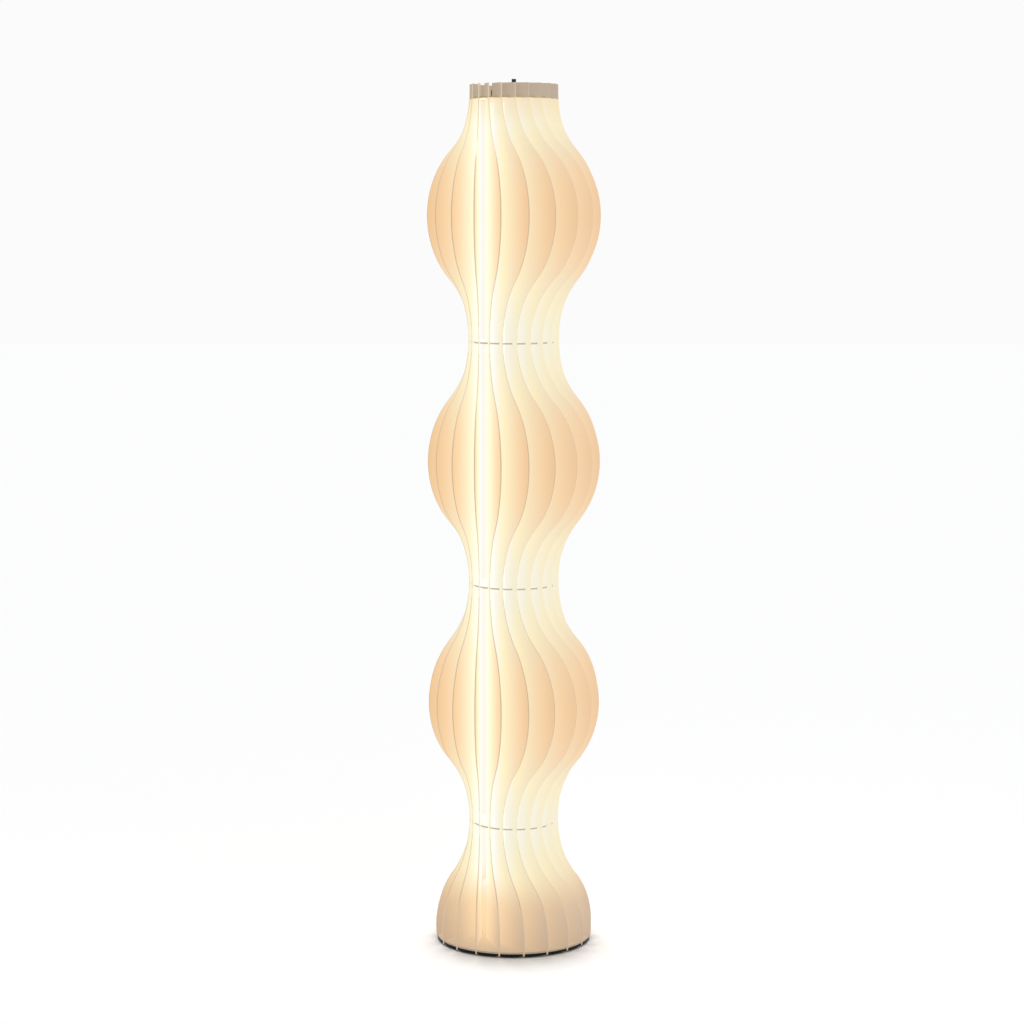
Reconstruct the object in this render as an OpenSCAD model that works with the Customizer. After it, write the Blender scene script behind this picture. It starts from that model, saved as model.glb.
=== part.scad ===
// Slatted column floor lamp: twenty canted opal fins stand round a lit diffuser tube.
// Three neck rings and a top plate hold the fins together, and their feet stand in a steel
// base disc with an opal cover. The origin is the centre of the floor under the foot pads,
// +Z is up and the front of the lamp faces -Y. All sizes are millimetres.

/* [Column outline] */
// Radius at the widest line of each bulge
bulge_r = 151; // [135:1:165]
// Radius at the narrowest line of each neck
neck_r = 78; // [74:1:84]
// Radius at the top rim
rim_r = 75.5; // [73:0.5:80]
// Radius at the widest line of the foot flare
flare_r = 139; // [128:1:150]
// Height from one neck line to the next
wave_h = 424.5; // [390:0.5:450]
// Height of the lowest neck line above the floor
low_neck_z = 217.5; // [205:0.5:240]
// Height of the widest line of the foot flare above the floor
flare_z = 27; // [15:1:40]
// Radius of the arc at each bulge, in the plane of a fin
bulge_arc_r = 158; // [145:1:170]
// How far the fins go on above the highest neck line
rim_rise = 12; // [8:0.5:20]

/* [Fins] */
// Thickness of a fin
fin_t = 2; // [1.5:0.1:3]
// Distance from the lamp's axis to the plane of each fin
cant = 56; // [54:0.5:58]
// Where a fin's inner edge lies, along its plane from the point nearest the axis
fin_inner = 28; // [26:0.5:31]
// Where a fin's inner edge lies above the top plate, measured in the same way
fin_top_inner = 22; // [2:0.5:25]
// Turn of the whole set of fins about the axis, in degrees
fin_turn = -4.5; // [-9:0.5:9]
// Clearance all round in the halved joints of fins and plates
lap_gap = 0.15; // [0.1:0.05:0.3]

/* [Rings and top plate] */
// Thickness of a neck ring
ring_t = 3; // [2:0.5:5]
// How far a ring's rim lies inside the neck radius
ring_inset = 5; // [3:0.5:8]
// How far the middle of a ring lies below the neck line
ring_drop = 5; // [0:0.5:10]
// Clearance between a neck ring and the diffuser tube
ring_tube_gap = 0.4; // [0.2:0.1:0.8]
// Thickness of the top plate
top_t = 3; // [2:0.5:5]
// How far the fins stand up above the top plate
top_sunk = 22; // [16:0.5:28]
// How far the top plate's rim lies inside the rim radius
top_inset = 5; // [3:0.5:8]

/* [Base] */
// Thickness of the base disc
base_t = 4; // [3:0.5:8]
// Thickness of the cover that lies on the base disc
cover_t = 3; // [2:0.5:4]
// Clearance between the cover and the driver housing
cover_gap = 0.5; // [0.3:0.1:1]
// How far the fins' feet stand out past the base disc's rim
base_inset = 3; // [1.5:0.5:6]
// Depth of the slots in the base disc and its cover, along a fin
base_lap = 14; // [10:0.5:18]
// Height of a foot pad
pad_h = 3; // [2:0.5:6]
// Radius of a foot pad
pad_r = 12; // [8:0.5:13]
// Radius of the circle that the foot pads lie on
pad_ring_r = 102; // [90:1:104]

/* [Pole] */
// Width of the square pole
pole_w = 25; // [22:0.5:28]
// Wall of the pole
pole_wall = 2; // [1.5:0.5:3]
// Radius of the pole's foot flange
flange_r = 42; // [38:1:45]
// Thickness of the pole's foot flange
flange_t = 5; // [4:0.5:8]
// Radius of the circle of the flange screws
flange_screw_ring_r = 33; // [30:0.5:34]
// Radius of a flange screw's shank
flange_screw_r = 2.5; // [2:0.25:3]
// Length of the plug that closes the top of the pole
plug_h = 24; // [16:1:40]

/* [Light] */
// Outer radius of the diffuser tube
tube_r = 45; // [42:0.5:48]
// Wall of the diffuser tube
tube_wall = 2.5; // [2:0.25:4]
// Width of a light strip
strip_w = 10; // [8:0.5:14]
// Thickness of a light strip's board
strip_t = 1.2; // [0.8:0.1:2]
// Width of a light chip
chip_w = 5; // [3:0.5:6]
// Height of a light chip above its board
chip_h = 1.6; // [1:0.1:2.5]
// Distance from one light chip to the next
chip_step = 42; // [30:1:60]
// How far a strip's top end stays below the tube's head ring
strip_end = 8; // [5:0.5:20]
// Width of the square board that links the strips
link_w = 44; // [36:1:52]
// Thickness of the board that links the strips
link_t = 1.6; // [1:0.1:2.4]
// Height of the tube's end rings
end_ring_h = 8; // [6:0.5:14]
// Depth of the groove in an end ring that the tube stands in
groove_depth = 4; // [3:0.5:5]
// Wall beside the groove in an end ring
groove_lip = 2.5; // [2:0.5:4]
// Clearance between the tube and its groove
groove_gap = 0.2; // [0.1:0.05:0.4]
// Clearance between the pole and what it passes through
pole_gap = 0.3; // [0.2:0.05:0.5]

/* [Driver housing] */
// Outer radius of the driver housing
housing_r = 56; // [54:0.5:57]
// Height of the driver housing above the base disc
housing_h = 93; // [85:1:110]
// Wall of the driver housing
housing_wall = 2.5; // [2:0.25:4]
// Radius of a housing screw's shank
housing_screw_r = 1.5; // [1.25:0.25:2]
// Length of a screw boss in the housing
boss_h = 14; // [10:1:20]
// Width of the driver box
driver_w = 46; // [36:1:50]
// Depth of the driver box
driver_d = 20; // [14:1:22]
// Height of the driver box
driver_h = 64; // [50:1:66]
// Thickness of the bracket that holds the driver box
bracket_t = 1.5; // [1:0.25:2.5]
// Width of the terminal block
terminal_w = 42; // [38:1:48]
// Depth of the terminal block
terminal_d = 12; // [9:0.5:13]
// Height of the terminal block
terminal_h = 14; // [10:1:20]

/* [Cord gland] */
// Radius of the gland's bore
gland_bore_r = 3.5; // [2.5:0.25:4]
// Radius of the gland's thread
gland_r = 5.5; // [5:0.25:7]
// Radius of the gland's outer flange
gland_flange_r = 7.5; // [7.25:0.25:9]
// Height of the gland above the base disc
gland_z = 38; // [30:1:50]
// Angle about the axis from the gland back to the inner edge of the next fin
gland_lead = 4.5; // [4:0.5:9]
// Radius of an inner lead
lead_r = 1.6; // [1.2:0.1:2]

/* [Finial] */
// Radius of the finial's stem
stem_r = 3.8; // [3.4:0.1:6]
// How far the finial stands up above the fins
finial_rise = 9; // [6:0.5:16]
// Radius of the finial's grip
grip_r = 10; // [8:0.5:14]
// Height of the finial's grip
grip_h = 7; // [5:0.5:9]
// Radius of the threaded stud
stud_r = 2; // [1.5:0.25:2.5]
// How far the stud reaches into the finial above its grip
stud_grip = 8; // [4:0.5:12]
// Running clearance between the finial's bore and the stud
stud_gap = 0.05; // [0.03:0.01:0.08]
// Radius of the washer under the finial
washer_r = 13; // [11:0.5:16]
// Thickness of the washer
washer_t = 1.5; // [1:0.25:2.5]
// Gap between the resting finial and its washer
finial_gap = 0.3; // [0.2:0.05:0.4]
// Distance from the axis to each thumb screw
thumb_x = 35; // [32:0.5:38]
// Radius of a thumb screw's shank
thumb_r = 2; // [1.5:0.25:2.5]
// Radius of a thumb screw's head
thumb_head_r = 4; // [3:0.5:5]
// Height of a thumb screw's head
thumb_head_h = 12; // [8:0.5:14]

/* [Hidden] */
$fa = 3;
$fs = 0.6;
fin_count = 20;
neck_count = 3;
pad_count = 6;
flange_screw_count = 4;
housing_screw_count = 3;
knurl_count = 16;
cut = 1;                 // how far a cutting shape runs past what it cuts

// Colours as the photograph shows them
opal = [0.97, 0.88, 0.72];
opal_unlit = [0.80, 0.74, 0.66];
black_steel = [0.07, 0.06, 0.06];
dark_rubber = [0.12, 0.12, 0.12];
aluminium = [0.78, 0.79, 0.80];
white_plastic = [0.93, 0.92, 0.89];
zinc = [0.70, 0.70, 0.70];
dark_metal = [0.16, 0.14, 0.12];
strip_white = [0.98, 0.97, 0.90];

// Distance along a fin's plane at which it reaches radius r
function along(r) = sqrt(r * r - cant * cant);

// Main levels
base_top = pad_h + base_t;
cover_top = base_top + cover_t;
rim_neck_z = low_neck_z + neck_count * wave_h;
fin_top = rim_neck_z + rim_rise;
top_plate_top = fin_top - top_sunk;
top_plate_z = top_plate_top - top_t;
flange_top = base_top + flange_t;
housing_top = base_top + housing_h;
deck_z = housing_top - housing_wall;
tube_low = housing_top + end_ring_h - groove_depth;
tube_high = top_plate_z - end_ring_h + groove_depth;
link_z = housing_top + end_ring_h;
strip_low = link_z + link_t;
strip_high = top_plate_z - end_ring_h - strip_end;
washer_top = top_plate_top + washer_t;
finial_low = washer_top + finial_gap;
finial_top = fin_top + finial_rise;
stud_top = finial_low + grip_h + stud_grip;

// Radii and places along a fin
bulge_u = along(bulge_r);
neck_u = along(neck_r);
rim_u = along(rim_r);
flare_u = along(flare_r);
ring_r = neck_r - ring_inset;
top_r = rim_r - top_inset;
base_r = flare_r - base_inset;
ring_lap = (fin_inner + along(ring_r)) / 2;
top_lap = (fin_inner + along(top_r)) / 2;
base_lap_u = along(base_r) - base_lap;

// Arcs of the outline: two tangent arcs join a bulge to a neck, and their radii add up to this
function arc_sum(rise, depth) = (rise * rise + depth * depth) / (2 * depth);
neck_arc_r = arc_sum(wave_h / 2, bulge_u - neck_u) - bulge_arc_r;
rim_arc_r = arc_sum(wave_h / 2, bulge_u - rim_u) - bulge_arc_r;
flare_arc_r = arc_sum(low_neck_z - flare_z, flare_u - neck_u) - neck_arc_r;

// How far a bulge's arc reaches up or down before the next arc takes over
bulge_reach = wave_h / 2 * bulge_arc_r / (bulge_arc_r + neck_arc_r);
neck_reach = wave_h / 2 - bulge_reach;
rim_reach = wave_h / 2 * bulge_arc_r / (bulge_arc_r + rim_arc_r);
flare_turn_z = flare_z + (low_neck_z - flare_z) * flare_arc_r / (flare_arc_r + neck_arc_r);

function neck_z(i) = low_neck_z + i * wave_h;
function ring_z(i) = neck_z(i) - ring_drop - ring_t / 2;
function fin_angle(i) = fin_turn + i * 360 / fin_count;
function two(i) = i < 10 ? str("0", i) : str(i);

FIN_NODES = [for (i = [1 : fin_count]) str("fin_", two(i))];
RING_NODES = [for (i = [1 : neck_count]) str("neck_ring_", i)];
STRIP_NODES = ["light_strip_front", "light_strip_right", "light_strip_back", "light_strip_left"];

// ---- Fins ----

// A shape drawn along a fin's plane, made as thick as the fin, and a cutter that passes through it
module sheet() {
    linear_extrude(height = fin_t, center = true) children();
}

module through_cut() {
    linear_extrude(height = fin_t + 2 * cut, center = true) children();
}

// The sheet inside a bulge's arc, from z_low to z_high
module bulge_band(z_low, z_high, z_bulge, u_bulge, arc_r) {
    sheet() intersection() {
        translate([u_bulge - arc_r, z_bulge]) circle(r = arc_r);
        translate([fin_inner, z_low]) square([u_bulge - fin_inner + cut, z_high - z_low]);
    }
}

// The sheet beside a neck's arc, from z_low to z_high
module neck_band(z_low, z_high, z_neck, u_neck, arc_r) {
    sheet() difference() {
        translate([fin_inner, z_low]) square([u_neck + arc_r - fin_inner, z_high - z_low]);
        translate([u_neck + arc_r, z_neck]) circle(r = arc_r);
    }
}

// A notch from the fin's inner edge, for a plate of thickness t with its underside at z
module fin_notch(z, t, inner, lap) {
    through_cut() translate([inner - cut, z - lap_gap])
        square([lap - inner + cut + lap_gap, t + 2 * lap_gap]);
}

module fin_sheet() {
    difference() {
        union() {
            // Each bulge's band goes on a little way inside the neck bands next to it
            bulge_band(pad_h, flare_turn_z + cut, flare_z, flare_u, flare_arc_r);
            for (i = [0 : neck_count - 1]) {
                z_mid = neck_z(i) + wave_h / 2;
                last = i == neck_count - 1;
                neck_band(i == 0 ? flare_turn_z : neck_z(i) - neck_reach, neck_z(i) + neck_reach,
                    neck_z(i), neck_u, neck_arc_r);
                bulge_band(z_mid - bulge_reach - cut, z_mid + (last ? rim_reach : bulge_reach) + cut,
                    z_mid, bulge_u, bulge_arc_r);
            }
            neck_band(rim_neck_z - wave_h / 2 + rim_reach, rim_neck_z, rim_neck_z, rim_u, rim_arc_r);
            sheet() translate([fin_inner, rim_neck_z - cut])
                square([rim_u - fin_inner, rim_rise + cut]);
            // Above the top plate the fin reaches further in
            sheet() translate([fin_top_inner, top_plate_top])
                square([fin_inner - fin_top_inner + cut, top_sunk]);
        }
        // The foot steps over the base disc and its cover and goes down through their slots
        through_cut() translate([fin_inner - cut, pad_h - cut])
            square([base_lap_u - fin_inner + cut + lap_gap, cover_top - pad_h + cut + lap_gap]);
        for (i = [0 : neck_count - 1]) fin_notch(ring_z(i), ring_t, fin_inner, ring_lap);
        fin_notch(top_plate_z, top_t, fin_top_inner, top_lap);
    }
}

// Puts a shape drawn along a fin's plane in the place of fin i
module at_fin(i) {
    rotate([0, 0, fin_angle(i)]) translate([-cant, 0, 0]) rotate([90, 0, -90]) children();
}

module fin(i) {
    color(opal) at_fin(i) fin_sheet();
}

// Slots for all the fins, from lap out past a plate's rim
module fin_slots(z, t, lap, r) {
    slot_w = fin_t + 2 * lap_gap;
    for (i = [1 : fin_count])
        rotate([0, 0, fin_angle(i)])
            translate([-cant - slot_w / 2, -r - cut, z - cut])
                cube([slot_w, r + cut - lap + lap_gap, t + 2 * cut]);
}

// ---- Rings and plates ----

module neck_ring(i) {
    color(opal) difference() {
        translate([0, 0, ring_z(i)]) cylinder(r = ring_r, h = ring_t);
        translate([0, 0, ring_z(i) - cut]) cylinder(r = tube_r + ring_tube_gap, h = ring_t + 2 * cut);
        fin_slots(ring_z(i), ring_t, ring_lap, ring_r);
    }
}

module top_plate() {
    color(opal_unlit) difference() {
        translate([0, 0, top_plate_z]) cylinder(r = top_r, h = top_t);
        translate([0, 0, top_plate_z - cut]) cylinder(r = stud_r + pole_gap, h = top_t + 2 * cut);
        for (side = [-1, 1])
            translate([side * thumb_x, 0, top_plate_z - cut])
                cylinder(r = thumb_r + pole_gap, h = top_t + 2 * cut);
        fin_slots(top_plate_z, top_t, top_lap, top_r);
    }
}

// A countersink's height is its head's radius less the shank's, as the cone stands at 45 degrees
flange_head_r = flange_screw_r * 1.9;
flange_head_h = flange_head_r - flange_screw_r;
housing_head_r = housing_screw_r * 1.9;
housing_head_h = housing_head_r - housing_screw_r;
boss_r = housing_screw_r + 2.5;
boss_ring_r = housing_r - housing_wall - boss_r;

module at_flange_screws() {
    for (i = [0 : flange_screw_count - 1])
        rotate([0, 0, 45 + i * 360 / flange_screw_count])
            translate([flange_screw_ring_r, 0, 0]) children();
}

module at_housing_screws() {
    for (i = [0 : housing_screw_count - 1])
        rotate([0, 0, 30 + i * 360 / housing_screw_count])
            translate([boss_ring_r, 0, 0]) children();
}

// A countersunk hole with its wide mouth at the underside of the base disc
module countersunk_hole(head_r, head_h, shank_r, gap) {
    translate([0, 0, pad_h - cut]) cylinder(r = shank_r + gap, h = base_t + 2 * cut);
    translate([0, 0, pad_h]) cylinder(r1 = head_r + gap, r2 = shank_r + gap, h = head_h);
    translate([0, 0, pad_h - cut]) cylinder(r = head_r + gap, h = cut);
}

module base_disc() {
    color(black_steel) difference() {
        translate([0, 0, pad_h]) cylinder(r = base_r, h = base_t);
        fin_slots(pad_h, base_t, base_lap_u, base_r);
        at_flange_screws() countersunk_hole(flange_head_r, flange_head_h, flange_screw_r, pole_gap);
        at_housing_screws()
            countersunk_hole(housing_head_r, housing_head_h, housing_screw_r, pole_gap);
    }
}

// The cover lies on the base disc round the driver housing, and has the same slots
module base_cover() {
    color(opal) difference() {
        translate([0, 0, base_top]) cylinder(r = base_r, h = cover_t);
        translate([0, 0, base_top - cut]) cylinder(r = housing_r + cover_gap, h = cover_t + 2 * cut);
        fin_slots(base_top, cover_t, base_lap_u, base_r);
    }
}

module foot_pads() {
    edge = 0.8;
    color(dark_rubber)
        for (i = [0 : pad_count - 1])
            rotate([0, 0, 15 + i * 360 / pad_count]) translate([pad_ring_r, 0, 0]) {
                cylinder(r1 = pad_r - edge, r2 = pad_r, h = edge);
                translate([0, 0, edge]) cylinder(r = pad_r, h = pad_h - edge);
            }
}

// ---- Pole ----

module square_column(w, z_low, z_high) {
    translate([-w / 2, -w / 2, z_low]) cube([w, w, z_high - z_low]);
}

module pole() {
    color(aluminium) difference() {
        square_column(pole_w, flange_top, top_plate_z);
        square_column(pole_w - 2 * pole_wall, flange_top - cut, top_plate_z + cut);
    }
}

module pole_flange() {
    color(black_steel) difference() {
        translate([0, 0, base_top]) cylinder(r = flange_r, h = flange_t);
        at_flange_screws()
            translate([0, 0, base_top - cut])
                cylinder(r = flange_screw_r + stud_gap, h = flange_t + 2 * cut);
    }
}

module countersunk_screw(head_r, head_h, shank_r, z_tip) {
    translate([0, 0, pad_h]) cylinder(r1 = head_r, r2 = shank_r, h = head_h);
    translate([0, 0, pad_h + head_h]) cylinder(r = shank_r, h = z_tip - pad_h - head_h);
}

module flange_screws() {
    color(zinc) at_flange_screws()
        countersunk_screw(flange_head_r, flange_head_h, flange_screw_r, flange_top);
}

// Closes the pole's top end and holds the stud
module pole_plug() {
    plug_w = pole_w - 2 * pole_wall - 2 * stud_gap;
    color(zinc) difference() {
        square_column(plug_w, top_plate_z - plug_h, top_plate_z);
        translate([0, 0, top_plate_z - plug_h - cut])
            cylinder(r = stud_r + stud_gap, h = plug_h + 2 * cut);
    }
}

// ---- Light ----

// Turns a shape made for the front face of the pole to face i
module at_pole_face(i) {
    rotate([0, 0, i * 90]) translate([0, -pole_w / 2, 0]) children();
}

module light_strip(i) {
    chip_count = floor((strip_high - strip_low - chip_step) / chip_step) + 1;
    first = (strip_low + strip_high - (chip_count - 1) * chip_step) / 2;
    color(strip_white) at_pole_face(i) {
        translate([-strip_w / 2, -strip_t, strip_low])
            cube([strip_w, strip_t, strip_high - strip_low]);
        for (k = [0 : chip_count - 1])
            translate([-chip_w / 2, -strip_t - chip_h, first + k * chip_step - chip_w / 2])
                cube([chip_w, chip_h, chip_w]);
    }
}

module diffuser_tube() {
    color(opal) difference() {
        translate([0, 0, tube_low]) cylinder(r = tube_r, h = tube_high - tube_low);
        translate([0, 0, tube_low - cut])
            cylinder(r = tube_r - tube_wall, h = tube_high - tube_low + 2 * cut);
    }
}

// A ring with a groove for the tube's end, a square hole for the pole and lead holes in its web
module end_ring(z, groove_z) {
    outer_r = tube_r + groove_gap + groove_lip;
    difference() {
        translate([0, 0, z]) cylinder(r = outer_r, h = end_ring_h);
        translate([0, 0, groove_z]) difference() {
            cylinder(r = tube_r + groove_gap, h = groove_depth + cut);
            translate([0, 0, -cut])
                cylinder(r = tube_r - tube_wall - groove_gap, h = groove_depth + 3 * cut);
        }
        square_column(pole_w + 2 * pole_gap, z - cut, z + end_ring_h + cut);
        at_strip_lead() translate([0, 0, z - cut])
            cylinder(r = lead_r + pole_gap, h = end_ring_h + 2 * cut);
    }
}

module tube_foot_ring() {
    color(white_plastic) end_ring(housing_top, housing_top + end_ring_h - groove_depth);
}

module tube_head_ring() {
    color(white_plastic) difference() {
        end_ring(top_plate_z - end_ring_h, top_plate_z - end_ring_h - cut);
        for (side = [-1, 1])
            translate([side * thumb_x, 0, top_plate_z - end_ring_h - cut])
                cylinder(r = thumb_r + stud_gap, h = end_ring_h + 2 * cut);
    }
}

// ---- Driver housing and what it holds ----

// The strip lead runs up close in front of the pole
lead_y = -(pole_w / 2 + strip_t + pole_gap + lead_r);

module at_strip_lead() {
    translate([0, lead_y, 0]) children();
}

module driver_housing() {
    color(white_plastic) difference() {
        union() {
            difference() {
                translate([0, 0, base_top]) cylinder(r = housing_r, h = housing_h);
                translate([0, 0, base_top - cut])
                    cylinder(r = housing_r - housing_wall, h = housing_h - housing_wall + cut);
            }
            intersection() {
                at_housing_screws() translate([0, 0, base_top]) {
                    cylinder(r = boss_r, h = boss_h);
                    translate([0, -boss_r / 2, 0]) cube([boss_r + housing_wall, boss_r, boss_h]);
                }
                translate([0, 0, base_top]) cylinder(r = housing_r - housing_wall / 2, h = boss_h);
            }
        }
        at_housing_screws() translate([0, 0, base_top - cut])
            cylinder(r = housing_screw_r + stud_gap, h = boss_h);
        square_column(pole_w + 2 * pole_gap, deck_z - cut, housing_top + cut);
        at_strip_lead() translate([0, 0, deck_z - cut])
            cylinder(r = lead_r + pole_gap, h = housing_wall + 2 * cut);
        gland_axis(housing_r + cut) cylinder(r = gland_r + pole_gap, h = 4 * housing_wall);
    }
}

module housing_screws() {
    color(zinc) at_housing_screws()
        countersunk_screw(housing_head_r, housing_head_h, housing_screw_r, base_top + boss_h - 2 * cut);
}

// The driver box stands on the flange in front of the pole, and its bracket wraps it
driver_gap = 0.3;
bracket_inner_w = driver_w + 2 * driver_gap;
bracket_y = -pole_w / 2 - bracket_t;             // the front face of the bracket's back plate
bracket_lip = 3;

module led_driver() {
    color(white_plastic)
        translate([-driver_w / 2, bracket_y - driver_gap - driver_d, flange_top])
            cube([driver_w, driver_d, driver_h]);
}

module driver_bracket() {
    arm = driver_d + 2 * driver_gap + bracket_t;
    band_z = flange_top + driver_h / 2;
    band_h = driver_h / 3;
    outer_w = bracket_inner_w + 2 * bracket_t;
    color(aluminium) translate([0, 0, band_z - band_h / 2]) {
        translate([-outer_w / 2, bracket_y, 0]) cube([outer_w, bracket_t, band_h]);
        for (side = [-1, 1]) {
            translate([side * (outer_w - bracket_t) / 2 - bracket_t / 2, bracket_y - arm, 0])
                cube([bracket_t, arm + bracket_t, band_h]);
            translate([side * (bracket_inner_w - bracket_lip) / 2 - bracket_lip / 2, bracket_y - arm, 0])
                cube([bracket_lip, bracket_t, band_h]);
        }
    }
}

// The terminal block stands on the flange behind the pole
terminal_y = pole_w / 2 + 2;
module terminal_block() {
    pin_r = 2;
    color(white_plastic) difference() {
        translate([-terminal_w / 2, terminal_y, flange_top])
            cube([terminal_w, terminal_d, terminal_h]);
        for (side = [-1, 0, 1])
            translate([side * terminal_w / 3, terminal_y + terminal_d / 2, flange_top + terminal_h / 2])
                cylinder(r = pin_r, h = terminal_h);
    }
}

// The gland faces the open end of the channel between two fins at the back
gland_fin = 14;
gland_turn = fin_angle(gland_fin) + atan2(fin_inner, cant) + 180 - 450 - gland_lead;

// Places a shape on the gland's axis at distance y from the lamp's axis, running inwards
module gland_axis(y) {
    rotate([0, 0, gland_turn]) translate([0, y, base_top + gland_z]) rotate([90, 0, 0]) children();
}

gland_nut_t = 4;
gland_flange_t = 3;
gland_thread = housing_wall + gland_nut_t + 1.5;

// The housing's wall is round, so the gland's flange seats on the wall's outermost line
module cord_gland() {
    color(dark_rubber) difference() {
        union() {
            gland_axis(housing_r + gland_flange_t) cylinder(r = gland_flange_r, h = gland_flange_t);
            gland_axis(housing_r) cylinder(r = gland_r, h = gland_thread);
        }
        gland_axis(housing_r + gland_flange_t + cut)
            cylinder(r = gland_bore_r, h = gland_flange_t + gland_thread + 2 * cut);
    }
}

// Six-sided nut inside the wall
module gland_nut() {
    nut_r = gland_r * 1.45;
    wall_in = sqrt(pow(housing_r - housing_wall, 2) - nut_r * nut_r);
    color(dark_rubber) difference() {
        gland_axis(wall_in) cylinder(r = nut_r, h = gland_nut_t, $fn = 6);
        gland_axis(wall_in + cut) cylinder(r = gland_r + stud_gap, h = gland_nut_t + 2 * cut);
    }
}

// From the terminal block past the pole to the back of the driver box
module mains_lead() {
    color(white_plastic)
        translate([pole_w / 2 + pole_gap + lead_r, terminal_y, flange_top + terminal_h / 2])
            rotate([90, 0, 0]) cylinder(r = lead_r, h = terminal_y - bracket_y + driver_gap);
}

// From the top of the driver box to the board that links the strips
module strip_lead() {
    color(white_plastic) at_strip_lead()
        translate([0, 0, flange_top + driver_h]) cylinder(r = lead_r, h = link_z - flange_top - driver_h);
}

// The strips stand on this board, which carries the current to all four
module link_board() {
    color(strip_white) difference() {
        square_column(link_w, link_z, link_z + link_t);
        square_column(pole_w + 2 * pole_gap, link_z - cut, link_z + link_t + cut);
    }
}

// ---- Top fittings ----

module stud() {
    color(zinc) translate([0, 0, top_plate_z - plug_h])
        cylinder(r = stud_r, h = stud_top - top_plate_z + plug_h);
}

module washer() {
    color(zinc) difference() {
        translate([0, 0, top_plate_top]) cylinder(r = washer_r, h = washer_t);
        translate([0, 0, top_plate_top - cut]) cylinder(r = stud_r + pole_gap, h = washer_t + 2 * cut);
    }
}

module thumb_screws() {
    color(dark_metal) for (side = [-1, 1]) translate([side * thumb_x, 0, 0]) {
        translate([0, 0, top_plate_z - end_ring_h]) cylinder(r = thumb_r, h = end_ring_h + top_t);
        translate([0, 0, top_plate_top]) cylinder(r = thumb_head_r, h = thumb_head_h);
    }
}

// A knurled nut with a long stem: it turns on the stud and clamps the top plate
module finial() {
    tip = 0.6;
    groove_r = 0.7;
    color(dark_metal) difference() {
        union() {
            translate([0, 0, finial_low]) cylinder(r = grip_r, h = grip_h);
            translate([0, 0, finial_low]) cylinder(r = stem_r, h = finial_top - finial_low - tip);
            translate([0, 0, finial_top - tip]) cylinder(r1 = stem_r, r2 = stem_r - tip, h = tip);
        }
        translate([0, 0, finial_low - cut])
            cylinder(r = stud_r + stud_gap, h = stud_top + cut + tip - finial_low);
        for (i = [1 : knurl_count]) rotate([0, 0, i * 360 / knurl_count])
            translate([grip_r, 0, finial_low - cut]) cylinder(r = groove_r, h = grip_h + 2 * cut);
    }
}

// ---- The nodes ----

for (i = [1 : fin_count]) fin(i - 1);
for (i = [1 : neck_count]) neck_ring(i - 1);
for (i = [0 : 3]) light_strip(i);
top_plate();
base_disc();
base_cover();
foot_pads();
pole();
pole_flange();
flange_screws();
driver_housing();
housing_screws();
led_driver();
driver_bracket();
terminal_block();
cord_gland();
gland_nut();
mains_lead();
strip_lead();
tube_foot_ring();
diffuser_tube();
tube_head_ring();
link_board();
pole_plug();
stud();
washer();
thumb_screws();
finial();
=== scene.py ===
import math

import bpy
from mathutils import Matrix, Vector


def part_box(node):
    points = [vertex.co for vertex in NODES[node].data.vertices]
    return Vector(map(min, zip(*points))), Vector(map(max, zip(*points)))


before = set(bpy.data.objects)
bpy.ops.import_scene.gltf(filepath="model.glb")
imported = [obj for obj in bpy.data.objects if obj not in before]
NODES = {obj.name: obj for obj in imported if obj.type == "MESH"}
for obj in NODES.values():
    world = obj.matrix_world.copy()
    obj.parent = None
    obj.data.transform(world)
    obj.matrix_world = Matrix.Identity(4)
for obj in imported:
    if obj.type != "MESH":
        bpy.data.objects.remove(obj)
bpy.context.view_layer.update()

bl_info = {
    "name": "Slatted Column Lamp",
    "version": (1, 0, 0),
    "blender": (4, 5, 0),
    "location": "3D View > Sidebar > Column Lamp",
    "description": "Finishes the packed column lamp and sets it on a studio floor",
    "category": "Object",
}

FIN_NAMES = sorted(name for name in NODES if name.startswith("fin_"))
RING_NAMES = sorted(name for name in NODES if name.startswith("neck_ring_"))
STRIP_NAMES = sorted(name for name in NODES if name.startswith("light_strip_"))
PLATE_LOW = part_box("top_plate")[0].z
PLATE_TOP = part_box("top_plate")[1].z
# A fin's largest faces, all of them on its two broad sides
BROAD_FACES = 40


def sheet_planes(name):
    """Distance of a fin's middle plane from the lamp's axis, and the fin's thickness"""
    faces = sorted(NODES[name].data.polygons, key=lambda face: -face.area)[:BROAD_FACES]
    reach = sorted(abs(face.normal.dot(face.center)) for face in faces)
    return (reach[0] + reach[-1]) / 2, reach[-1] - reach[0]


FIN_PLANE, FIN_THICKNESS = sheet_planes(FIN_NAMES[0])

# ---- Fixed values: lengths in metres, colours as shares of full light ----

# Distances from the axis at which the light in the sheet reaches each of its colours
GLOW_RADII = {"Core": 0.062, "Neck": 0.080, "Middle": 0.100, "Wide": 0.128, "Rim": 0.151}
# The same for the light in the foot
FOOT_NEAR_RADIUS = 0.066
FOOT_FAR_RADIUS = 0.138
# Heights between which the foot's colours give way to the column's
FOOT_LOW = 0.060
FOOT_HIGH = 0.135
# What is left of the foot's light at the floor, in the fins and in the cover
FIN_FLOOR_SHADE = 0.88
COVER_FLOOR_SHADE = 0.72
# How far below the top plate its shade reaches
TOP_REACH = 0.045
# Height over which the light stops at the top plate
LIT_STEP = 0.001

# Share of the glow that a cut edge shows, at two distances from the axis
NECK_EDGE_RADIUS = 0.085
NECK_EDGE_SHARE = 0.74
BULGE_EDGE_RADIUS = 0.128
BULGE_EDGE_SHARE = 0.58
# The least share at the foot, and what is added above the top plate
FOOT_EDGE_SHARE = 0.95
TOP_EDGE_EXTRA = 0.6

# How upright the normal of a flat sheet is where its face ends and where its rim is full
FACE_UPRIGHT = 0.6
RIM_UPRIGHT = 0.3
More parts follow.
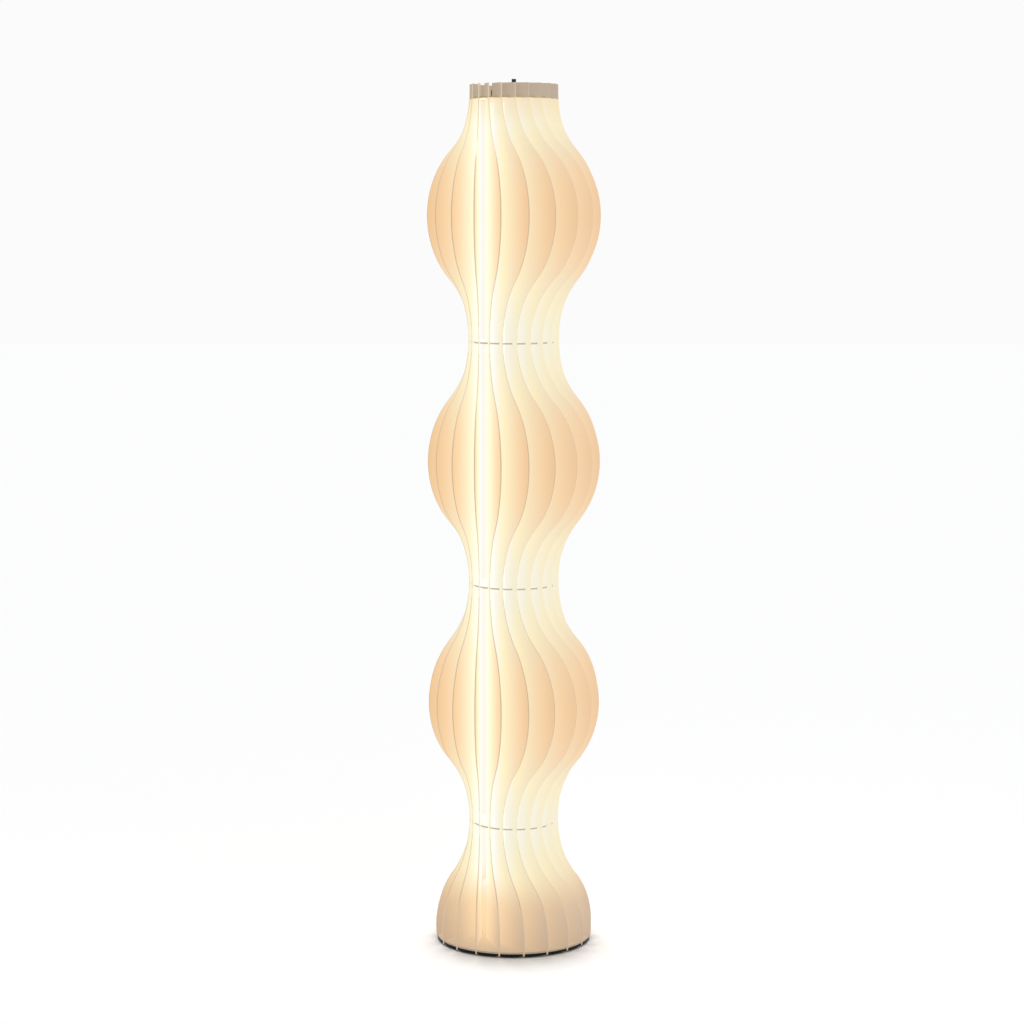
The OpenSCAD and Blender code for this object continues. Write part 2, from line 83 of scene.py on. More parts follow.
# Surface and light of the rims of the flat sheets
RING_RIM = (0.42, 0.38, 0.31)
RING_RIM_GLOW = (0.25, 0.225, 0.165)
PLATE_RIM = (0.40, 0.28, 0.16)
PLATE_RIM_GLOW = (0.20, 0.13, 0.07)
COVER_RIM = (0.44, 0.37, 0.28)
COVER_RIM_GLOW = (0.14, 0.11, 0.08)

# Colours of the pieces inside
TUBE_SURFACE = (0.26, 0.25, 0.22)
# White moulding under the tube's light: a darker base colour, with that light painted on as a glow
WASHED_WHITE = (0.30, 0.28, 0.24)
WASHED_SECOND = (0.28, 0.26, 0.22)
WASHED_SPECK = (0.24, 0.22, 0.18)
MOULDING_WHITE = (0.72, 0.70, 0.66)
BOARD_WHITE = (0.80, 0.79, 0.74)
BOARD_GLOW = (0.10, 0.09, 0.07)
CHIP_YELLOW = (0.86, 0.66, 0.20)
CHIP_GLOW = (0.95, 0.85, 0.62)
ALUMINIUM_GREY = (0.72, 0.73, 0.74)
ZINC_GREY = (0.62, 0.62, 0.62)
NYLON_BLACK = (0.02, 0.02, 0.02)
RUBBER_BLACK = (0.016, 0.016, 0.016)
# Distances from the axis between which a strip's board ends and its chips begin
BOARD_REACH = 0.0138
CHIP_REACH = 0.0140

# Noise levels between which a value moves from its low to its high end
NOISE_LOW = 0.3
NOISE_HIGH = 0.7
# Noise levels between which clouds and specks come in
CLOUD_LOW = 0.35
CLOUD_HIGH = 0.65
SPECK_LOW = 0.62
SPECK_HIGH = 0.75
# How the noise behind lines is stretched, by axis: upright lines, or an even grain
DRAWN_UPRIGHT = (1.0, 1.0, 0.02)
FLOWED_UPRIGHT = (1.0, 1.0, 0.05)
UNDRAWN = (1.0, 1.0, 1.0)

# The floor in two tones, and the floor and the room as the camera sees them
FLOOR_TONE = (0.78, 0.78, 0.78)
FLOOR_SECOND = (0.80, 0.80, 0.80)
FLOOR_SEEN = (0.962, 0.965, 0.969)
ROOM_SEEN = (0.965, 0.965, 0.965)
SOFTBOX_WIDTH = 2.4
SOFTBOX_HEIGHT = 2.0
SOFTBOX_PLACE = (1.6, -3.0, 2.2)
SOFTBOX_AIM = (0.0, 0.0, 0.8)
# Width of the camera's frame, in millimetres
SENSOR_WIDTH = 36.0


# ---- Settings ----

def colour_setting(label, about, default):
    """A colour that the panel can change"""
    return bpy.props.FloatVectorProperty(
        name=label, description=about, subtype="COLOR", size=3, min=0, max=1, default=default)


class FinishSettings(bpy.types.PropertyGroup):
    """Colours of the lamp's finishes"""

    # Painted shade: the opal's surface colour above the top plate is a darker, browner copy of the lit
    # sheet's colour
    shaded_sheet_colour: colour_setting(
        "Sheet", "Opal sheet above the top plate, where little light reaches it", (0.25, 0.20, 0.15))
    sheet_glow: colour_setting(
        "Sheet glow", "Light that leaks up into the sheet above the top plate", (0.325, 0.266, 0.196))
    lit_colour: colour_setting(
        "Lit sheet", "Surface colour of the opal sheet where it glows", (0.26, 0.24, 0.21))
    edge_colour: colour_setting(
        "Cut edge", "Cut edges of the opal sheet", (0.36, 0.33, 0.27))
    glow_core: colour_setting(
        "Core glow", "Light in the sheet next to the diffuser tube", (0.69, 0.695, 0.67))
    glow_neck: colour_setting(
        "Neck glow", "Light in the sheet at the radius of a neck", (0.735, 0.66, 0.43))
    glow_middle: colour_setting(
        "Middle glow", "Light in the sheet between neck and bulge", (0.69, 0.575, 0.38))
    glow_wide: colour_setting(
        "Wide glow", "Light in the sheet near the widest line of a bulge", (0.695, 0.47, 0.265))
    glow_rim: colour_setting(
        "Rim glow", "Light in the sheet at the widest line of a bulge", (0.645, 0.40, 0.196))
    foot_near: colour_setting(
        "Foot glow, near", "Light in the feet of the fins next to the driver housing",
        (0.71, 0.51, 0.31))
    foot_far: colour_setting(
        "Foot glow, far", "Light in the feet of the fins at their outer edges", (0.445, 0.312, 0.205))
    top_tint: colour_setting(
        "Top tint", "Warms the light just under the top plate", (1.0, 0.87, 0.68))
    tube_glow: colour_setting(
        "Tube glow", "Light of the diffuser tube", (0.83, 0.81, 0.73))
    steel_colour: colour_setting(
        "Base", "Black powder coat of the base disc and the pole's flange", (0.012, 0.009, 0.007))
    fitting_colour: colour_setting(
        "Fittings", "Dark bronzed finial and thumb screws", (0.030, 0.022, 0.016))


class StageSettings(bpy.types.PropertyGroup):
    """Sizes and levels of the studio"""

    camera_distance: bpy.props.FloatProperty(
        name="Camera distance", description="Level distance from the lamp's axis",
        unit="LENGTH", min=1.0, max=20.0, default=4.428)
    camera_height: bpy.props.FloatProperty(
        name="Camera height", description="Height of the camera above the floor",
        unit="LENGTH", min=0.0, max=5.0, default=1.29)
    camera_aside: bpy.props.FloatProperty(
        name="Camera aside", description="How far the camera stands right of the axis",
        unit="LENGTH", min=-1.0, max=1.0, default=-0.0032)
    camera_pitch: bpy.props.FloatProperty(
        name="Camera pitch", description="How far the camera looks down",
        subtype="ANGLE", min=-1.0, max=1.0, default=math.radians(6.784))
    lens: bpy.props.FloatProperty(
        name="Lens", description="Focal length for a frame 36 mm wide, in millimetres",
        min=10.0, max=300.0, default=89.50)
    floor_size: bpy.props.FloatProperty(
        name="Floor size", description="Length of each side of the floor",
        unit="LENGTH", min=5.0, max=80.0, default=40.0)
    world_level: bpy.props.FloatProperty(
        name="Room light", description="Strength of the even light from the room",
        min=0.0, max=2.0, default=0.35)
    overhead_level: bpy.props.FloatProperty(
        name="Overhead light", description="What the overhead light adds to the level of a white floor",
        min=0.0, max=2.0, default=0.66)
    overhead_spread: bpy.props.FloatProperty(
        name="Overhead spread", description="How wide the overhead light looks from the floor",
        subtype="ANGLE", min=0.0, max=3.0, default=math.radians(5))
    overhead_tilt: bpy.props.FloatProperty(
        name="Overhead tilt", description="How far the overhead light stands behind the lamp",
        subtype="ANGLE", min=-1.0, max=1.0, default=math.radians(3))
    key_power: bpy.props.FloatProperty(
        name="Key light", description="Power of the softbox in front",
        unit="POWER", min=0.0, max=2000.0, default=8.0)


# ---- Shader helpers ----

FLOAT = "NodeSocketFloat"
COLOUR = "NodeSocketColor"
VECTOR = "NodeSocketVector"
# Distance between nodes in the shader editor
NODE_SPACING = 180


class Graph:
    """Adds nodes to a shader tree, sets their inputs and links them"""

    def __init__(self, tree):
        self.tree = tree
        self.column = 0

    def add(self, kind, inputs=None, **values):
        node = self.tree.nodes.new(kind)
        node.location = (self.column * NODE_SPACING, 0)
        self.column += 1
        for key, value in values.items():
            setattr(node, key, value)
        for key, value in (inputs or {}).items():
            self.set(node.inputs[key], value)
        return node

    def set(self, socket, value):
        if isinstance(value, bpy.types.NodeSocket):
            self.tree.links.new(value, socket)
        elif socket.type == "RGBA":
            socket.default_value = (*value, 1.0)
        else:
            socket.default_value = value

    def math(self, operation, first, second=0.5):
        return self.add("ShaderNodeMath", {0: first, 1: second}, operation=operation).outputs[0]

    def absolute(self, value):
        return self.math("ABSOLUTE", value)

    def vector(self, operation, first, second):
        return self.add("ShaderNodeVectorMath", {0: first, 1: second}, operation=operation).outputs

    def scaled(self, colour, share):
        return self.add("ShaderNodeVectorMath", {0: colour, 3: share}, operation="SCALE").outputs[0]

    def smooth(self, value, low, high, to_low=0.0, to_high=1.0, kind="SMOOTHSTEP"):
        node = self.add("ShaderNodeMapRange", {
            "Value": value, "From Min": low, "From Max": high, "To Min": to_low, "To Max": to_high},
            interpolation_type=kind)
        return node.outputs["Result"]

    def ramp(self, value, low, high, to_low=0.0, to_high=1.0):
        return self.smooth(value, low, high, to_low, to_high, "LINEAR")

    def mix(self, factor, first, second, blend="MIX"):
        node = self.add("ShaderNodeMix", data_type="RGBA", blend_type=blend)
        self.set(node.inputs["Factor"], factor)
        self.set(node.inputs["A"], first)
        self.set(node.inputs["B"], second)
        return node.outputs["Result"]

    def coordinates(self, kind="Object"):
        return self.add("ShaderNodeTexCoord").outputs[kind]

    def axes(self, vector):
        return self.add("ShaderNodeSeparateXYZ", {0: vector}).outputs

    def noise(self, point, scale, detail, roughness=0.5):
        node = self.add("ShaderNodeTexNoise", {
            "Vector": point, "Scale": scale, "Detail": detail, "Roughness": roughness})
        return node.outputs["Fac"]

    def place(self, group_name, inputs=None):
        return self.add("ShaderNodeGroup", inputs, node_tree=group(group_name)).outputs


def group_tree(name, inputs, outputs):
    """Starts a shader node group and returns its tree, graph, inputs and output node"""
    tree = bpy.data.node_groups.new(name, "ShaderNodeTree")
    for label, kind, default in inputs:
        socket = tree.interface.new_socket(label, in_out="INPUT", socket_type=kind)
        socket.default_value = (*default, 1.0) if kind == COLOUR else default
    for label, kind in outputs:
        tree.interface.new_socket(label, in_out="OUTPUT", socket_type=kind)
    graph = Graph(tree)
    entry = graph.add("NodeGroupInput").outputs
    leave = graph.add("NodeGroupOutput")
    return tree, graph, entry, leave


def column_glow_group():
    """Light in the sheet by distance from the axis, with other tones at the foot and above the plate"""
    sockets = [(f"{stop} Colour", COLOUR, (0.6, 0.5, 0.3)) for stop in GLOW_RADII]
    sockets += [(f"{stop} Radius", FLOAT, radius) for stop, radius in GLOW_RADII.items()]
    sockets += [
        ("Foot Near Colour", COLOUR, (0.6, 0.4, 0.2)),
        ("Foot Far Colour", COLOUR, (0.4, 0.3, 0.1)),
        ("Foot Near Radius", FLOAT, FOOT_NEAR_RADIUS),
        ("Foot Far Radius", FLOAT, FOOT_FAR_RADIUS),
        ("Foot Low", FLOAT, FOOT_LOW),
        ("Foot High", FLOAT, FOOT_HIGH),
        ("Floor Shade", FLOAT, FIN_FLOOR_SHADE),
        ("Unlit Colour", COLOUR, (0.2, 0.2, 0.1)),
        ("Lit Top", FLOAT, PLATE_LOW),
        ("Top Tint", COLOUR, (1.0, 0.8, 0.6)),
        ("Top Reach", FLOAT, TOP_REACH)]
    tree, g, use, leave = group_tree("Column Glow", sockets, [
        ("Colour", COLOUR), ("Level", FLOAT), ("Radius", FLOAT), ("Foot", FLOAT)])
    x, y, height = g.axes(g.coordinates())
    square = g.math("ADD", g.math("MULTIPLY", x, x), g.math("MULTIPLY", y, y))
    radius = g.math("SQRT", square)
    # The column: one colour after the other from the core to the rim
    tone = use["Core Colour"]
    stops = list(GLOW_RADII)
    for near, far in zip(stops, stops[1:]):
        share = g.ramp(radius, use[f"{near} Radius"], use[f"{far} Radius"])
        tone = g.mix(share, tone, use[f"{far} Colour"])
    top_start = g.math("SUBTRACT", use["Lit Top"], use["Top Reach"])
    under_top = g.ramp(height, top_start, use["Lit Top"])
    tone = g.mix(under_top, tone, g.mix(1.0, tone, use["Top Tint"], "MULTIPLY"))
    # The foot: darker outwards and towards the floor
    outwards = g.ramp(radius, use["Foot Near Radius"], use["Foot Far Radius"])
    foot_tone = g.mix(outwards, use["Foot Near Colour"], use["Foot Far Colour"])
    shade = g.ramp(height, 0.0, use["Foot Low"], use["Floor Shade"], 1.0)
    foot_tone = g.scaled(foot_tone, shade)
    foot = g.smooth(height, use["Foot High"], use["Foot Low"])
    lit = g.ramp(height, use["Lit Top"], g.math("SUBTRACT", use["Lit Top"], LIT_STEP))
    g.set(leave.inputs["Colour"], g.mix(lit, use["Unlit Colour"], g.mix(foot, tone, foot_tone)))
    g.set(leave.inputs["Level"], lit)
    g.set(leave.inputs["Radius"], radius)
    g.set(leave.inputs["Foot"], foot)
    return tree


def cut_edge_group():
    """1 on the cut edges of a sheet that stands at a set distance from the axis, 0 on its faces"""
    tree, g, use, leave = group_tree("Cut Edge", [
        ("Plane Distance", FLOAT, 0.056),
        ("Sheet Thickness", FLOAT, 0.002),
        ("Least Offset", FLOAT, 0.0003),
        ("Full Offset", FLOAT, 0.0008),
        ("Least Upright", FLOAT, 0.1),
        ("Full Upright", FLOAT, 0.3)], [("Edge", FLOAT)])
    coords = g.add("ShaderNodeTexCoord").outputs
    from_axis = g.vector("MULTIPLY", coords["Object"], (1.0, 1.0, 0.0))[0]
    reach = g.vector("DOT_PRODUCT", from_axis, coords["Normal"])["Value"]
    # A face of the sheet lies half its thickness from its middle plane
    offset = g.absolute(g.math("SUBTRACT", g.absolute(reach), use["Plane Distance"]))
    half = g.math("MULTIPLY", use["Sheet Thickness"], 0.5)
    offset = g.absolute(g.math("SUBTRACT", offset, half))
    upright = g.absolute(g.axes(coords["Normal"])[2])
    side = g.ramp(offset, use["Least Offset"], use["Full Offset"])
    end = g.ramp(upright, use["Least Upright"], use["Full Upright"])
    g.set(leave.inputs["Edge"], g.math("MAXIMUM", side, end))
    return tree


def fine_grain_group():
    """Fine moulded or sprayed grain as a value and as a height"""
    tree, g, use, leave = group_tree("Fine Grain", [
        ("Size", FLOAT, 0.001), ("Low", FLOAT, 0.4), ("High", FLOAT, 0.6)],
        [("Value", FLOAT), ("Height", FLOAT)])
    point = g.coordinates()
    noise = g.noise(point, g.math("DIVIDE", 1.0, use["Size"]), detail=3.0, roughness=0.6)
    g.set(leave.inputs["Value"], g.ramp(noise, NOISE_LOW, NOISE_HIGH, use["Low"], use["High"]))
    g.set(leave.inputs["Height"], noise)
    return tree


def cloud_tone_group():
    """Two close tones in soft clouds, with fine specks of a third"""
    tree, g, use, leave = group_tree("Cloud Tone", [
        ("Colour", COLOUR, (0.5, 0.5, 0.5)),
        ("Second Colour", COLOUR, (0.4, 0.4, 0.4)),
        ("Speck Colour", COLOUR, (0.3, 0.3, 0.3)),
        ("Cloud Size", FLOAT, 0.04),
        ("Speck Size", FLOAT, 0.001),
        ("Speck Amount", FLOAT, 0.2)], [("Colour", COLOUR)])
    point = g.coordinates()
    cloud = g.noise(point, g.math("DIVIDE", 1.0, use["Cloud Size"]), detail=2.0)
    speck = g.noise(point, g.math("DIVIDE", 1.0, use["Speck Size"]), detail=1.0)
    tone = g.mix(g.smooth(cloud, CLOUD_LOW, CLOUD_HIGH), use["Colour"], use["Second Colour"])
    grain = g.math("MULTIPLY", g.smooth(speck, SPECK_LOW, SPECK_HIGH), use["Speck Amount"])
    g.set(leave.inputs["Colour"], g.mix(grain, tone, use["Speck Colour"]))
    return tree


def brushed_group():
    """Fine lines along the axis that the noise is stretched on, as on drawn metal or extruded tube"""
    tree, g, use, leave = group_tree("Brushed Lines", [
        ("Line Scale", FLOAT, 900.0), ("Along", VECTOR, DRAWN_UPRIGHT),
        ("Low", FLOAT, 0.25), ("High", FLOAT, 0.45)], [("Value", FLOAT), ("Height", FLOAT)])
    drawn = g.vector("MULTIPLY", g.coordinates(), use["Along"])[0]
    noise = g.noise(drawn, use["Line Scale"], detail=4.0)
    g.set(leave.inputs["Value"], g.ramp(noise, NOISE_LOW, NOISE_HIGH, use["Low"], use["High"]))
    g.set(leave.inputs["Height"], noise)
    return tree


GROUP_MAKERS = {
    "Column Glow": column_glow_group,
    "Cut Edge": cut_edge_group,
    "Fine Grain": fine_grain_group,
    "Cloud Tone": cloud_tone_group,
    "Brushed Lines": brushed_group,
}


def group(name):
    """A shared node group, made where it is first used"""
    return bpy.data.node_groups.get(name) or GROUP_MAKERS[name]()


def new_material(name):
    """A material with a Principled shader, and its graph"""
    material = bpy.data.materials.new(name)
    material.use_nodes = True
    tree = material.node_tree
    tree.nodes.clear()
    graph = Graph(tree)
    shader = graph.add("ShaderNodeBsdfPrincipled")
    result = graph.add("ShaderNodeOutputMaterial")
    tree.links.new(shader.outputs[0], result.inputs["Surface"])
    return material, graph, shader


def set_light(g, shader, colour):
    """Lets a surface give out its own light"""
    g.set(shader.inputs["Emission Color"], colour)
    shader.inputs["Emission Strength"].default_value = 1.0


def add_bump(g, shader, height, strength, distance):
    """Relief from a height that changes over the surface"""
    bump = g.add("ShaderNodeBump", {"Strength": strength, "Distance": distance, "Height": height})
    g.set(shader.inputs["Normal"], bump.outputs["Normal"])


def seen_directly(g):
    """1 for what the camera sees, also in a mirror or through glass, and 0 for the light it sends on"""
    paths = g.add("ShaderNodeLightPath").outputs
    seen = g.math("MAXIMUM", paths["Is Camera Ray"], paths["Is Glossy Ray"])
    return g.math("MAXIMUM", seen, paths["Is Transmission Ray"])


def shaded(colour, share):
    """A colour with each of its parts times a share"""
    return tuple(part * share for part in colour)


def tones(colour, second, speck):
    """The colours of clouds: the colour itself, and its shares in the second tone and the specks"""
    return {"Colour": colour, "Second Colour": shaded(colour, second),
            "Speck Colour": shaded(colour, speck)}


# ---- Materials ----

def column_glow(g, finish, changes=None):
    """Places the column's glow with the finish's own colours"""
    values = {
        "Core Colour": finish.glow_core,
        "Neck Colour": finish.glow_neck,
        "Middle Colour": finish.glow_middle,
        "Wide Colour": finish.glow_wide,
        "Rim Colour": finish.glow_rim,
        "Foot Near Colour": finish.foot_near,
        "Foot Far Colour": finish.foot_far,
        "Unlit Colour": finish.sheet_glow,
        "Lit Top": PLATE_LOW,
        "Top Tint": finish.top_tint}
    values.update(changes or {})
    return g.place("Column Glow", values)


def sheet_surface(g, shader, finish, level):
    """Gives opal sheet its grain and fine relief, and returns its colour before any edge"""
    cloud = g.place("Cloud Tone", {
        **tones(finish.shaded_sheet_colour, second=0.95, speck=0.8),
        "Cloud Size": 0.06, "Speck Size": 0.0009, "Speck Amount": 0.25})["Colour"]
    grain = g.place("Fine Grain", {"Size": 0.0006, "Low": 0.30, "High": 0.42})
    g.set(shader.inputs["Roughness"], grain["Value"])
    add_bump(g, shader, grain["Height"], strength=0.05, distance=0.0003)
    # Painted shade: the darker sheet colour above the top plate, the lit sheet colour below it
    return g.mix(level, cloud, finish.lit_colour)


def sheet_material(finish):
    """Satin opal sheet, lit from inside the column, with its cut edges"""
    material, g, shader = new_material("opal_sheet")
    edge = g.place("Cut Edge", {
        "Plane Distance": FIN_PLANE, "Sheet Thickness": FIN_THICKNESS})["Edge"]
    glow = column_glow(g, finish)
    tone = sheet_surface(g, shader, finish, glow["Level"])
    g.set(shader.inputs["Base Color"], g.mix(edge, tone, finish.edge_colour))
    # A cut edge shows less of the glow at the bulges, and more at the necks, the foot and the top
    share = g.smooth(glow["Radius"], NECK_EDGE_RADIUS, BULGE_EDGE_RADIUS,
        NECK_EDGE_SHARE, BULGE_EDGE_SHARE)
    share = g.math("MAXIMUM", share, g.math("MULTIPLY", glow["Foot"], FOOT_EDGE_SHARE))
    share = g.math("ADD", share, g.smooth(glow["Level"], 1.0, 0.0, 0.0, TOP_EDGE_EXTRA))
    set_light(g, shader, g.mix(edge, glow["Colour"], g.scaled(glow["Colour"], share)))
    return material


def flat_sheet_material(finish, name, rim_colour, rim_glow, changes=None):
    """The same sheet lying flat: its faces glow and its rim is duller"""
    material, g, shader = new_material(name)
    glow = column_glow(g, finish, changes)
    tone = sheet_surface(g, shader, finish, glow["Level"])
    upright = g.absolute(g.axes(g.coordinates("Normal"))[2])
    rim = g.ramp(upright, FACE_UPRIGHT, RIM_UPRIGHT)
    g.set(shader.inputs["Base Color"], g.mix(rim, tone, rim_colour))
    set_light(g, shader, g.mix(rim, glow["Colour"], rim_glow))
    return material


def washed_moulding_material(finish):
    """White moulding that the light of the tube washes over, with that light painted on as a glow"""
    material, g, shader = new_material("washed_moulding")
    glow = column_glow(g, finish)
    cloud = g.place("Cloud Tone", {
        "Colour": WASHED_WHITE, "Second Colour": WASHED_SECOND, "Speck Colour": WASHED_SPECK,
        "Cloud Size": 0.03, "Speck Size": 0.0009})["Colour"]
    grain = g.place("Fine Grain", {"Size": 0.0009, "Low": 0.38, "High": 0.5})
    g.set(shader.inputs["Base Color"], cloud)
    # Painted light: the column's glow on the housing and the tube's end rings, which give no light of
    # their own
    set_light(g, shader, glow["Colour"])
    g.set(shader.inputs["Roughness"], grain["Value"])
    add_bump(g, shader, grain["Height"], strength=0.15, distance=0.0004)
    return material


def tube_material(finish):
    """Opal diffuser tube, evenly lit, with a faint flow pattern and warmer light under the top plate"""
    material, g, shader = new_material("opal_tube_lit")
    flow = g.place("Brushed Lines", {
        "Line Scale": 120.0, "Along": FLOWED_UPRIGHT, "Low": 0.35, "High": 0.5})
    tone = g.mix(flow["Height"], finish.tube_glow, shaded(finish.tube_glow, share=0.96))
    height = g.axes(g.coordinates())[2]
    under_top = g.ramp(height, PLATE_LOW - TOP_REACH, PLATE_LOW)
    tone = g.mix(under_top, tone, g.mix(1.0, tone, finish.top_tint, "MULTIPLY"))
    g.set(shader.inputs["Base Color"], TUBE_SURFACE)
    set_light(g, shader, tone)
    g.set(shader.inputs["Roughness"], flow["Value"])
    return material


def coated_material(name, colour, grain_size, rough, bump, metallic=0.0, specular=0.5):
    """Paint, powder coat, rubber or moulded plastic with a fine grain"""
    material, g, shader = new_material(name)
    cloud = g.place("Cloud Tone", {
        **tones(colour, second=0.9, speck=1.25),
        "Cloud Size": 0.03, "Speck Size": grain_size, "Speck Amount": 0.35})["Colour"]
    grain = g.place("Fine Grain", {"Size": grain_size, "Low": rough[0], "High": rough[1]})
    g.set(shader.inputs["Base Color"], cloud)
    g.set(shader.inputs["Roughness"], grain["Value"])
    shader.inputs["Metallic"].default_value = metallic
    shader.inputs["Specular IOR Level"].default_value = specular
    add_bump(g, shader, grain["Height"], bump, distance=0.0004)
    return material


def metal_material(name, colour, along, rough, scale=900.0):
    """Drawn or turned bare metal with fine lines"""
    material, g, shader = new_material(name)
    lines = g.place("Brushed Lines", {
        "Line Scale": scale, "Along": along, "Low": rough[0], "High": rough[1]})
    g.set(shader.inputs["Base Color"], g.mix(lines["Height"], colour, shaded(colour, share=0.82)))
    g.set(shader.inputs["Roughness"], lines["Value"])
    shader.inputs["Metallic"].default_value = 1.0
    add_bump(g, shader, lines["Height"], strength=0.08, distance=0.0002)
    return material


def strip_material():
    """White solder mask with warm light chips, told apart by their distance from the axis"""
    material, g, shader = new_material("strip_board")
    x, y, _ = g.axes(g.coordinates())
    reach = g.math("MAXIMUM", g.absolute(x), g.absolute(y))
    chip = g.ramp(reach, BOARD_REACH, CHIP_REACH)
    grain = g.place("Fine Grain", {"Size": 0.0008, "Low": 0.3, "High": 0.4})
    g.set(shader.inputs["Base Color"], g.mix(chip, BOARD_WHITE, CHIP_YELLOW))
    set_light(g, shader, g.mix(chip, BOARD_GLOW, CHIP_GLOW))
    g.set(shader.inputs["Roughness"], grain["Value"])
    return material


def floor_material():
    """Pale floor that looks white to the camera and keeps the lamp's soft shadow"""
    material, g, shader = new_material("studio_floor")
    seen = seen_directly(g)
    mottle = g.add("ShaderNodeTexNoise", {"Scale": 3.0, "Detail": 2.0}).outputs["Fac"]
    plain = g.mix(mottle, FLOOR_TONE, FLOOR_SECOND)
    g.set(shader.inputs["Base Color"], g.mix(seen, plain, FLOOR_SEEN))
    shader.inputs["Roughness"].default_value = 1.0
    shader.inputs["Specular IOR Level"].default_value = 0.0
    return material


def all_materials(finish):
    """Every finish of the lamp, by a short name"""
    return {
        "sheet": sheet_material(finish),
        "ring": flat_sheet_material(finish, "opal_ring_sheet", RING_RIM, RING_RIM_GLOW),
        "plate": flat_sheet_material(
            finish, "opal_plate_sheet", PLATE_RIM, PLATE_RIM_GLOW,
            {"Lit Top": (PLATE_LOW + PLATE_TOP) / 2}),
        "cover": flat_sheet_material(
            finish, "opal_cover_sheet", COVER_RIM, COVER_RIM_GLOW,
            {"Floor Shade": COVER_FLOOR_SHADE}),
        "washed": washed_moulding_material(finish),
        "tube": tube_material(finish),
        "steel": coated_material(
            "black_powder_coat", finish.steel_colour, grain_size=0.0007, rough=(0.42, 0.6),
            bump=0.2, specular=0.15),
        "rubber": coated_material(
            "pad_rubber", RUBBER_BLACK, grain_size=0.0012, rough=(0.75, 0.9), bump=0.3),
        "plastic": coated_material(
            "white_moulding", MOULDING_WHITE, grain_size=0.0009, rough=(0.38, 0.5), bump=0.15),
        "nylon": coated_material(
            "black_nylon", NYLON_BLACK, grain_size=0.0008, rough=(0.4, 0.55), bump=0.2),
        "bronze": coated_material(
            "dark_bronzed", finish.fitting_colour, grain_size=0.0006, rough=(0.3, 0.42),
            bump=0.1, metallic=0.6),
        "aluminium": metal_material(
            "drawn_aluminium", ALUMINIUM_GREY, DRAWN_UPRIGHT, rough=(0.28, 0.45)),
        "zinc": metal_material(
            "bright_zinc", ZINC_GREY, UNDRAWN, rough=(0.22, 0.4), scale=500.0),
        "strip": strip_material(),
    }


_finishes = {}


def finish_of(name):
    """One of the materials, which are all made at the first call"""
    if not _finishes:
        _finishes.update(all_materials(bpy.context.scene.lamp_finish))
    return _finishes[name]


def give(names, finish):
    """Gives CAD nodes their material"""
    for name in names:
        slots = NODES[name].data.materials
        slots.clear()
        slots.append(finish_of(finish))


# ---- Operators ----

class LampOperator:
    """What every operator of the lamp shares"""

    bl_options = {"REGISTER", "UNDO"}


class COLUMNLAMP_OT_fins(LampOperator, bpy.types.Operator):
    """Finish the twenty opal fins"""
    bl_idname = "columnlamp.fins"
    bl_label = "Fins"

    def execute(self, context):
        give(FIN_NAMES, "sheet")
        return {"FINISHED"}


class COLUMNLAMP_OT_plates(LampOperator, bpy.types.Operator):
    """Finish the neck rings and the top plate"""
    bl_idname = "columnlamp.plates"
    bl_label = "Neck rings and top plate"

    def execute(self, context):
        give(RING_NAMES, "ring")
        give(["top_plate"], "plate")
        return {"FINISHED"}


class COLUMNLAMP_OT_base(LampOperator, bpy.types.Operator):
    """Finish the base disc, the pole's flange, the cover, the pads and the screws from below"""
    bl_idname = "columnlamp.base"
    bl_label = "Base"

    def execute(self, context):
        give(["base_disc", "pole_flange"], "steel")
        give(["base_cover"], "cover")
        give(["foot_pads"], "rubber")
        give(["flange_screws", "housing_screws"], "zinc")
        return {"FINISHED"}


class COLUMNLAMP_OT_pole(LampOperator, bpy.types.Operator):
    """Finish the pole, its plug, the stud and its washer, and the driver's bracket"""
    bl_idname = "columnlamp.pole"
    bl_label = "Pole"

    def execute(self, context):
        give(["pole", "driver_bracket"], "aluminium")
        give(["pole_plug", "stud", "washer"], "zinc")
        return {"FINISHED"}


class COLUMNLAMP_OT_light(LampOperator, bpy.types.Operator):
    """Finish the diffuser tube, its end rings, the strips and their board"""
    bl_idname = "columnlamp.light"
    bl_label = "Light"

    def execute(self, context):
        give(["diffuser_tube"], "tube")
        give(["tube_foot_ring", "tube_head_ring"], "washed")
        give(STRIP_NAMES + ["link_board"], "strip")
        return {"FINISHED"}


class COLUMNLAMP_OT_driver(LampOperator, bpy.types.Operator):
    """Finish the driver housing, the driver, its terminals and leads, and the cord gland"""
    bl_idname = "columnlamp.driver"
    bl_label = "Driver"

    def execute(self, context):
        give(["driver_housing"], "washed")
        give(["led_driver", "terminal_block", "mains_lead", "strip_lead"], "plastic")
        give(["cord_gland", "gland_nut"], "nylon")
        return {"FINISHED"}


class COLUMNLAMP_OT_fittings(LampOperator, bpy.types.Operator):
    """Finish the finial and the thumb screws"""
    bl_idname = "columnlamp.fittings"
    bl_label = "Top fittings"

    def execute(self, context):
        give(["finial", "thumb_screws"], "bronze")
        return {"FINISHED"}


